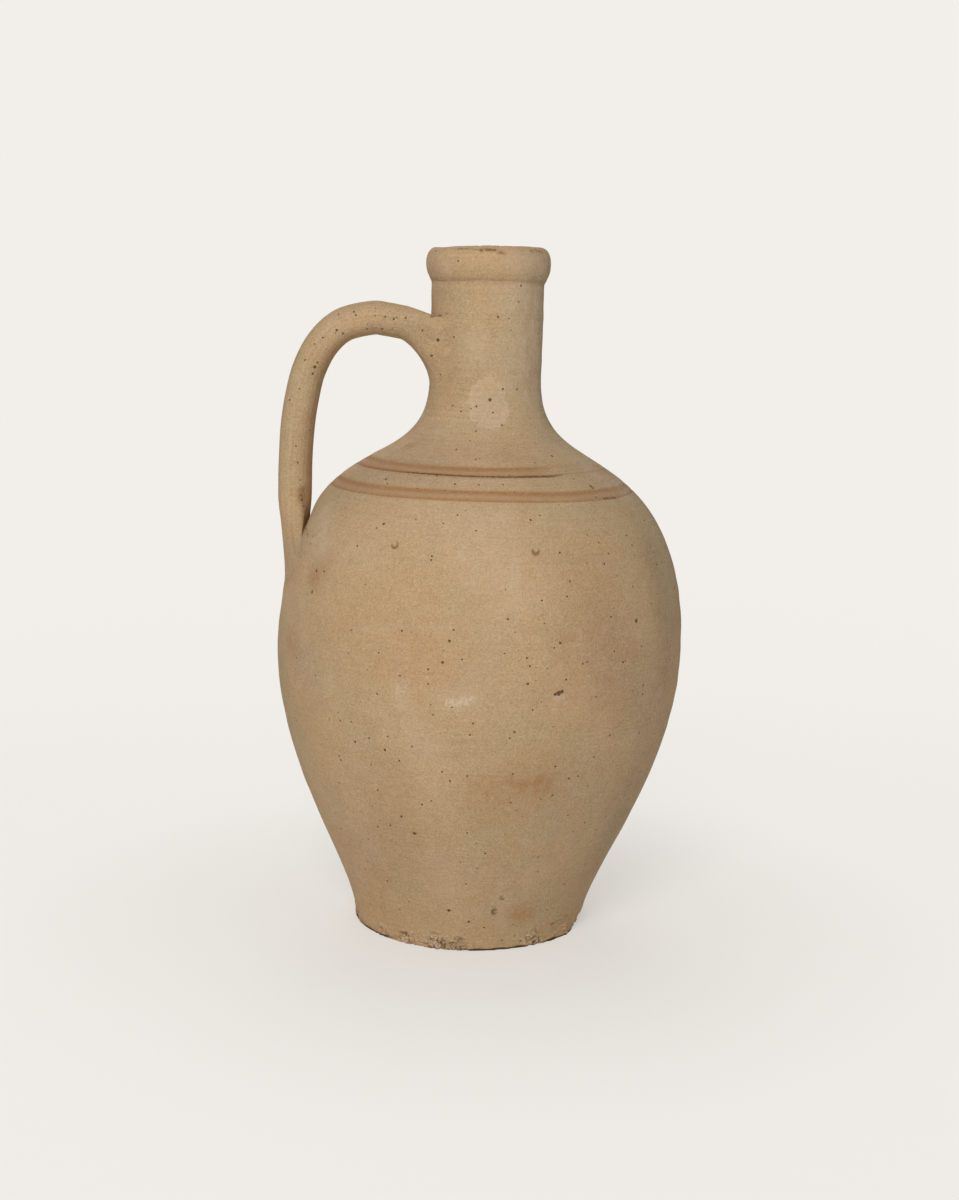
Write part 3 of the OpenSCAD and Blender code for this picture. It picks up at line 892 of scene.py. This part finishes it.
def mark_group(name, ends):
    """A group that adds a mark to what came before: 1 in it, 0 past its size. Two ends make a stroke."""
    group = bpy.data.node_groups.new(name, "ShaderNodeTree")
    sockets = [(key, "INPUT", "Vector") for key in ["Place"] + ends]
    sockets += [("Size", "INPUT", "Float"), ("Before", "INPUT", "Float"), ("Mark", "OUTPUT", "Float")]
    for key, side, kind in sockets:
        group.interface.new_socket(key, in_out=side, socket_type="NodeSocket" + kind)
    g = Graph(group)
    given = group.nodes.new("NodeGroupInput").outputs
    nearest = given[ends[0]]
    if len(ends) == 2:
        way = g.vector("SUBTRACT", given[ends[1]], given[ends[0]])
        gone = g.vector("SUBTRACT", given["Place"], given[ends[0]])
        along, long = g.measure("DOT_PRODUCT", gone, way), g.measure("DOT_PRODUCT", way, way)
        share = g.math("DIVIDE", along, long, clamp=True)
        nearest = g.vector("MULTIPLY_ADD", way, share, given[ends[0]])
    away = g.measure("DISTANCE", given["Place"], nearest)
    mark = g.step(g.math("DIVIDE", away, given["Size"]), 0.95, 0.5)
    g.put(group.nodes.new("NodeGroupOutput").inputs["Mark"], g.most(mark, given["Before"]))
    return group


def chain(g, group, where, marks):
    """All the marks of one kind: each is its ends and then its size."""
    so_far = 0.0
    for mark in marks:
        made = g.node("Group", node_tree=group)
        g.put(made.inputs["Place"], where)
        g.put(made.inputs["Before"], so_far)
        made.inputs["Size"].default_value = mark[-1]
        for i, end in enumerate(mark[:-1]):
            made.inputs[1 + i].default_value = tuple(end)
        so_far = made.outputs[0]
    return so_far


def rgb(red, green, blue):
    """A colour given in the 0 to 255 of a picture."""
    def linear(v):
        v /= 255
        return v / 12.92 if v <= 0.04045 else ((v + 0.055) / 1.055) ** 2.4
    return (linear(red), linear(green), linear(blue), 1.0)


BUFF = rgb(193, 163, 128)
OLIVE = rgb(183, 158, 122)
ASH = rgb(188, 164, 138)
WARM = rgb(196, 159, 119)
RUST = rgb(166, 118, 78)
BAND = rgb(163, 115, 72)
CUT = rgb(94, 62, 38)
# Painted shadow under the foot's edge
UNDERCUT_SHADOW_BROWN = rgb(66, 46, 31)
PALE = rgb(212, 192, 168)
CHALK = rgb(224, 208, 184)
PINKISH = rgb(207, 181, 154)
LUMP = rgb(224, 193, 165)
# Brown for dirt and for painted shade in creases
DIRT_AND_SHADE_BROWN = rgb(116, 88, 60)
# Dark brown for painted shade in pits, cracks and holes
PIT_SHADE = rgb(92, 62, 36)
SCAR = rgb(134, 94, 58)
GRIT = rgb(140, 106, 72)
# Grain is nearly grey: it moves red, green and blue by these shares
GRAIN_TINT = (1.0, 0.91, 0.76)
# Crumbled lumps, in lumps for each millimetre
LUMPS_PER_MM = 0.50


def lay_clay(g, where, drawn, grain, sand):
    """The clay: clouds of buff, olive and warm, painted shade patches, fine drawn lines, grain, grit and
    a haze of lime.
    """
    broad = g.noise(where, 0.011, 3.0, 0.55, 0.4)
    clouds = g.noise(where, 0.030, 4.0, 0.6, 0.6)
    ashen = g.noise(where, 0.024, 4.0, 0.6, 0.8)
    small = g.noise(where, 0.16, 4.0, 0.65)
    g.colour = g.mix(g.step(broad, 0.36, 0.62), BUFF, OLIVE)
    g.lay(g.step(clouds, 0.42, 0.72), 0.52, WARM)
    g.lay(g.step(ashen, 0.50, 0.74), 0.34, ASH)
    g.lay(g.attribute("warm"), 0.60, WARM)
    tone = g.plus(g.step(small, 0.2, 0.8, 0.955, 1.045), g.step(clouds, 0.25, 0.75, 0.035, -0.035))
    # The painted shade patches darken the tone.
    tone = g.plus(g.plus(tone, drawn, 0.22), g.attribute("painted_shade"), -0.11)
    g.colour = g.mix(1.0, g.colour, tone, "MULTIPLY")
    light = g.plus(g.step(grain, 0.22, 0.78, -0.080, 0.080), g.step(sand, 0.25, 0.75, -0.026, 0.026))
    g.colour = g.vector("MULTIPLY_ADD", light, GRAIN_TINT, g.colour)
    dots, kept = g.dots(where, 0.42, 0.06, 0.16, 1.2, 0.5)
    g.lay(g.times(g.above(kept[0], 0.74), dots), 0.6, GRIT)
    g.lay(g.times(g.above(kept[2], 0.86), dots), 0.4, PALE)
    g.lay(g.step(g.noise(where, 0.05, 6.0, 0.72, 1.2), 0.58, 0.78), 0.30, PALE)


def crumb_marks(g, where):
    """The cracks and holes between crumbled lumps, painted dark as the shade in them, and the pale lumps.
    """
    bent = g.bent(where, 0.7, 2.2)
    edges = g.voronoi(bent, LUMPS_PER_MM, "DISTANCE_TO_EDGE")["Distance"]
    kept = g.kept(g.voronoi(bent, LUMPS_PER_MM))
    cracks = g.times(g.step(edges, 0.13, 0.03), g.step(kept[1], 0.35, 0.7, 0.1, 0.9))
    holes = g.times(g.above(kept[0], 0.76), g.step(edges, 0.02, 0.12))
    return g.most(cracks, holes), g.times(g.step(kept[2], 0.30, 0.60), g.step(edges, 0.04, 0.14))


def lay_stains(g, where, ragged):
    """The stains, painted shade and painted light on the mesh, with broken edges, and the crumbled and
    worn places.
    """
    mottle = g.step(g.noise(where, 0.13, 5.0, 0.65, 0.6), 0.30, 0.70, 0.30, 1.25)
    # The red attribute holds red stains and one painted warm bounce of light.
    g.lay(g.times(g.attribute("red"), mottle), 0.85, RUST)
    # The pale attribute holds pale stains and painted light.
    g.lay(g.times(g.attribute("pale"), mottle), 0.32, PALE)
    # Flaked patches have an uneven edge, a paler border and chalky specks
    flaked = g.attribute("flaked")
    waver = g.plus(-0.375, g.noise(where, 0.19, 4.0, 0.65), 0.75)
    uneven = g.plus(g.plus(waver, ragged, 0.3), flaked, 1.2)
    patch = g.times(g.step(uneven, 0.46, 0.58), g.step(flaked, 0.02, 0.15))
    specks = g.step(g.noise(where, 0.8, 4.0, 0.75), 0.50, 0.62)
    g.lay(patch, 0.26, PINKISH)
    g.lay(g.times(patch, g.step(uneven, 0.80, 0.60)), 0.10, CHALK)
    g.lay(g.times(patch, specks), 0.20, CHALK)
    # Lime comes out as chalky specks
    lime = g.attribute("lime")
    specks = g.step(g.plus(g.noise(where, 0.62, 4.0, 0.80), lime, 0.20), 0.60, 0.76)
    g.lay(lime, 0.14, PINKISH)
    g.lay(g.times(g.step(lime, 0.05, 0.60), specks), 0.46, CHALK)
    # Painted shade in the creases where the handle's ends meet the jar, along the strap's inner face and
    # under the collar, and dirt
    dirt_and_shade = g.times(g.attribute("dirt_and_shade"), g.step(ragged, 0.34, 0.62, 0.25, 1.5))
    g.lay(g.step(dirt_and_shade, 0.10, 0.80), 0.75, DIRT_AND_SHADE_BROWN)
    g.lay(g.times(g.attribute("crease"), g.step(ragged, 0.30, 0.70, 0.45, 1.2)), 0.30, DIRT_AND_SHADE_BROWN)
    # The cracks between crumbled lumps are painted dark as shade.
    cracks, lumps = crumb_marks(g, where)
    for share, other in ((lumps, LUMP), (cracks, PIT_SHADE)):
        g.lay(g.times(g.attribute("crumb"), share), 0.80, other)
    # Painted shadow in the hollow line under the foot's edge
    g.lay(g.attribute("undercut_shadow"), 0.92, UNDERCUT_SHADOW_BROWN)


def clay(name, marks, groups, strap):
    """Unglazed buff terracotta. strap runs the fine lines along the handle instead of round the jar."""
    material = bpy.data.materials.new(name)
    g = emptied(material)
    where = g.vector("MULTIPLY", g.node("TexCoord").outputs["Object"], (1 / MM, 1 / MM, 1 / MM))
    height = g.node("SeparateXYZ", {0: where}).outputs[2]
    lined = g.noise(where, 0.06)
    if strap:
        across = g.plus(g.times(g.attribute("around"), 78.0), g.noise(where, 0.05), 3.0)
        lined = g.step(lined, 0.35, 0.65, 0.8, 2.0)
    else:
        across = g.plus(height, g.noise(where, 0.03), 2.4)
        lined = g.times(g.step(lined, 0.35, 0.65, 0.3, 1.2), g.step(height, 235.0, 262.0, 0.75, 1.5))
    drawn = g.node("TexNoise", {"W": across, "Scale": 0.55, "Detail": 5.0, "Roughness": 0.65},
                   noise_dimensions="1D").outputs[0]
    drawn = g.times(g.math("SUBTRACT", drawn, 0.5), lined)
    grain = g.noise(where, 1.45, 2.0, 0.6)
    sand = g.noise(where, 0.60, 3.0, 0.62)
    ragged = g.noise(where, 0.42, 5.0, 0.7, 0.5)
    lay_clay(g, where, drawn, grain, sand)

    # Bands and the cut, and brown wear in the edge of the foot
    broken = g.step(sand, 0.25, 0.60, 0.55, 1.1)
    for key, strength, brown in ("low_band", 0.84, BAND), ("high_band", 0.84, BAND), ("cut", 0.95, CUT):
        g.lay(g.times(g.attribute(key), broken), strength, brown)
    worn = g.times(g.step(height, 9.0, 0.0), g.step(ragged, 0.40, 0.66))
    g.lay(worn, 0.5, RUST)
    lay_stains(g, where, ragged)

    # Scars and pits with ragged edges, random small pits, and scratches
    shaken = g.vector("SUBTRACT", g.bent(where, 1.0, 0.9), (0.45, 0.45, 0.45))
    pits, scars, lumps = (chain(g, groups["spot"], shaken, marks[k]) for k in ("pits", "scars", "lumps"))
    scars = g.times(scars, g.math("SUBTRACT", 1.0, lumps))
    g.lay(scars, 0.80, SCAR)
    dots, kept = g.dots(g.vector("ADD", where, (11.0, 5.0, 2.0)), 0.19, 0.055, 0.080, 1.0, 0.35)
    pits = g.most(pits, g.times(g.above(kept[0], 0.36), dots))
    # Pits are painted dark as the shade in them.
    g.lay(pits, 0.88, PIT_SHADE)
    scratches = chain(g, groups["stroke"], where, marks["scratches"])
    scratches = g.times(scratches, g.step(sand, 0.30, 0.55, 0.2, 1.0))
    g.lay(scratches, 0.50, PALE)

    # Relief, with each layer's height in millimetres
    rough = g.most(g.attribute("crumb"), g.times(g.attribute("dirt_and_shade"), 0.5))
    rough = g.times(ragged, g.most(rough, g.times(g.attribute("pale"), 0.25)))
    raised = 0.0
    for layer, tall in ((grain, 0.24), (sand, 0.20), (drawn, 0.18), (g.most(pits, scars), -0.6),
                        (scratches, -0.06), (rough, 1.4)):
        raised = g.plus(raised, layer, tall)
    normal = g.node("Bump", {"Strength": 1.0, "Distance": MM, "Height": raised}).outputs[0]
    dull = g.step(grain, 0.2, 0.8, 0.86, 0.96)
    shader = g.node("BsdfPrincipled", {"Base Color": g.colour, "Normal": normal, "Roughness": dull,
                                       "Specular IOR Level": 0.25})
    g.node("OutputMaterial", {"Surface": shader.outputs[0]})
    return material


# Studio, in metres

BACKDROP = rgb(242, 239, 234)
SKY = (0.94, 0.97, 1.0, 1.0)
SKY_STRENGTH = 0.295

# Lamps, as (name, place, aim, width, power, colour): a broad soft one front left, a weak one behind
LAMPS = [("key", (-0.31, -1.72, 1.24), (0, 0, 0.19), 0.9, 24.0, (1.0, 0.98, 0.95)),
         ("back", (-0.12, 1.1, 0.8), (0, 0, 0.17), 0.8, 4.2, (0.95, 0.98, 1.0))]


def add_lamp(name, spot, aim, size, power, colour):
    data = bpy.data.lights.new(name, "AREA")
    data.shape = "DISK"
    data.size = size
    data.energy = power
    data.color = colour
    lamp = shown(name, data)
    lamp.location = spot
    lamp.visible_camera = False
    lamp.rotation_euler = (Vector(aim) - Vector(spot)).to_track_quat("-Z", "Y").to_euler()


def add_sweep():
    """A pale sweep of paper that glows for the camera, most of all away from the jar."""
    front, back, radius, height, half = -2.2, 1.3, 0.7, 2.6, 2.5
    profile = [(front, 0.0), (back - radius, 0.0)]
    for a in np.radians(np.linspace(6, 90, 14)):
        profile.append((back - radius + radius * math.sin(a), radius - radius * math.cos(a)))
    profile.append((back, height))
    points = [(x, y, z) for y, z in profile for x in (-half, half)]
    faces = [(2 * i, 2 * i + 1, 2 * i + 3, 2 * i + 2) for i in range(len(profile) - 1)]
    mesh = bpy.data.meshes.new("backdrop")
    mesh.from_pydata(points, [], faces)
    mesh.polygons.foreach_set("use_smooth", np.ones(len(faces), bool))
    sweep = shown("backdrop", mesh)
    material = bpy.data.materials.new("backdrop")
    g = emptied(material)
    paper = g.node("BsdfDiffuse", {"Color": BACKDROP}).outputs[0]
    glow = g.node("Emission", {"Color": BACKDROP, "Strength": 1.0}).outputs[0]
    away = g.measure("LENGTH", g.node("TexCoord").outputs["Object"])
    glowing = g.math("ADD", g.step(away, 0.05, 0.32, 0.50, 0.88), g.step(away, 0.30, 1.1, 0.0, 0.12))
    seen = g.node("LightPath").outputs["Is Camera Ray"]
    both = g.node("MixShader", {0: g.times(seen, glowing), 1: paper, 2: glow}).outputs[0]
    g.node("OutputMaterial", {"Surface": both})
    mesh.materials.append(material)


def add_sky():
    """Even light all round, which the camera sees as the paper's colour."""
    world = bpy.data.worlds.new("world")
    g = emptied(world)
    seen = g.node("LightPath").outputs["Is Camera Ray"]
    even = g.node("Background", {"Color": SKY, "Strength": SKY_STRENGTH}).outputs[0]
    pale = g.node("Background", {"Color": BACKDROP, "Strength": 1.0}).outputs[0]
    both = g.node("MixShader", {0: seen, 1: even, 2: pale}).outputs[0]
    g.node("OutputWorld", {"Surface": both})
    bpy.context.scene.world = world


# Assembly

makers = [base_slab, lower_body, upper_body, neck, rim_collar, handle, handle_root_wad, handle_foot_wad]
pieces = {make.__name__: make() for make in makers}
tree = tree_of(pieces.values())
stain(pieces.values(), tree)
groups = {"spot": mark_group("spot", ["Middle"]), "stroke": mark_group("stroke", ["From", "To"])}

# Each clay takes the marks between two heights, with some to spare where two clays meet
finish = {}
for name, low, high in (("foot_clay", -1, 16), ("body_clay", 0, SHOULDER_H + 3),
                        ("neck_clay", SHOULDER_H - 3, JAR_H + 1), ("handle_clay", 180, JAR_H)):
    strap = name == "handle_clay"
    finish[name] = clay(name, marks_between(tree, low, high, strap), groups, strap)
slots = {"base_slab": "foot_clay", "lower_body": "body_clay", "upper_body": "body_clay",
         "neck": "neck_clay", "rim_collar": "neck_clay", "handle": "handle_clay",
         "handle_root_wad": "handle_clay", "handle_foot_wad": "handle_clay"}
for node, piece in pieces.items():
    piece.data.materials.append(finish[slots[node]])
    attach(piece, "root")
    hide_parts(node)

add_camera()
add_sweep()
add_sky()
for lamp in LAMPS:
    add_lamp(*lamp)
bpy.context.scene.view_settings.view_transform = "Standard"
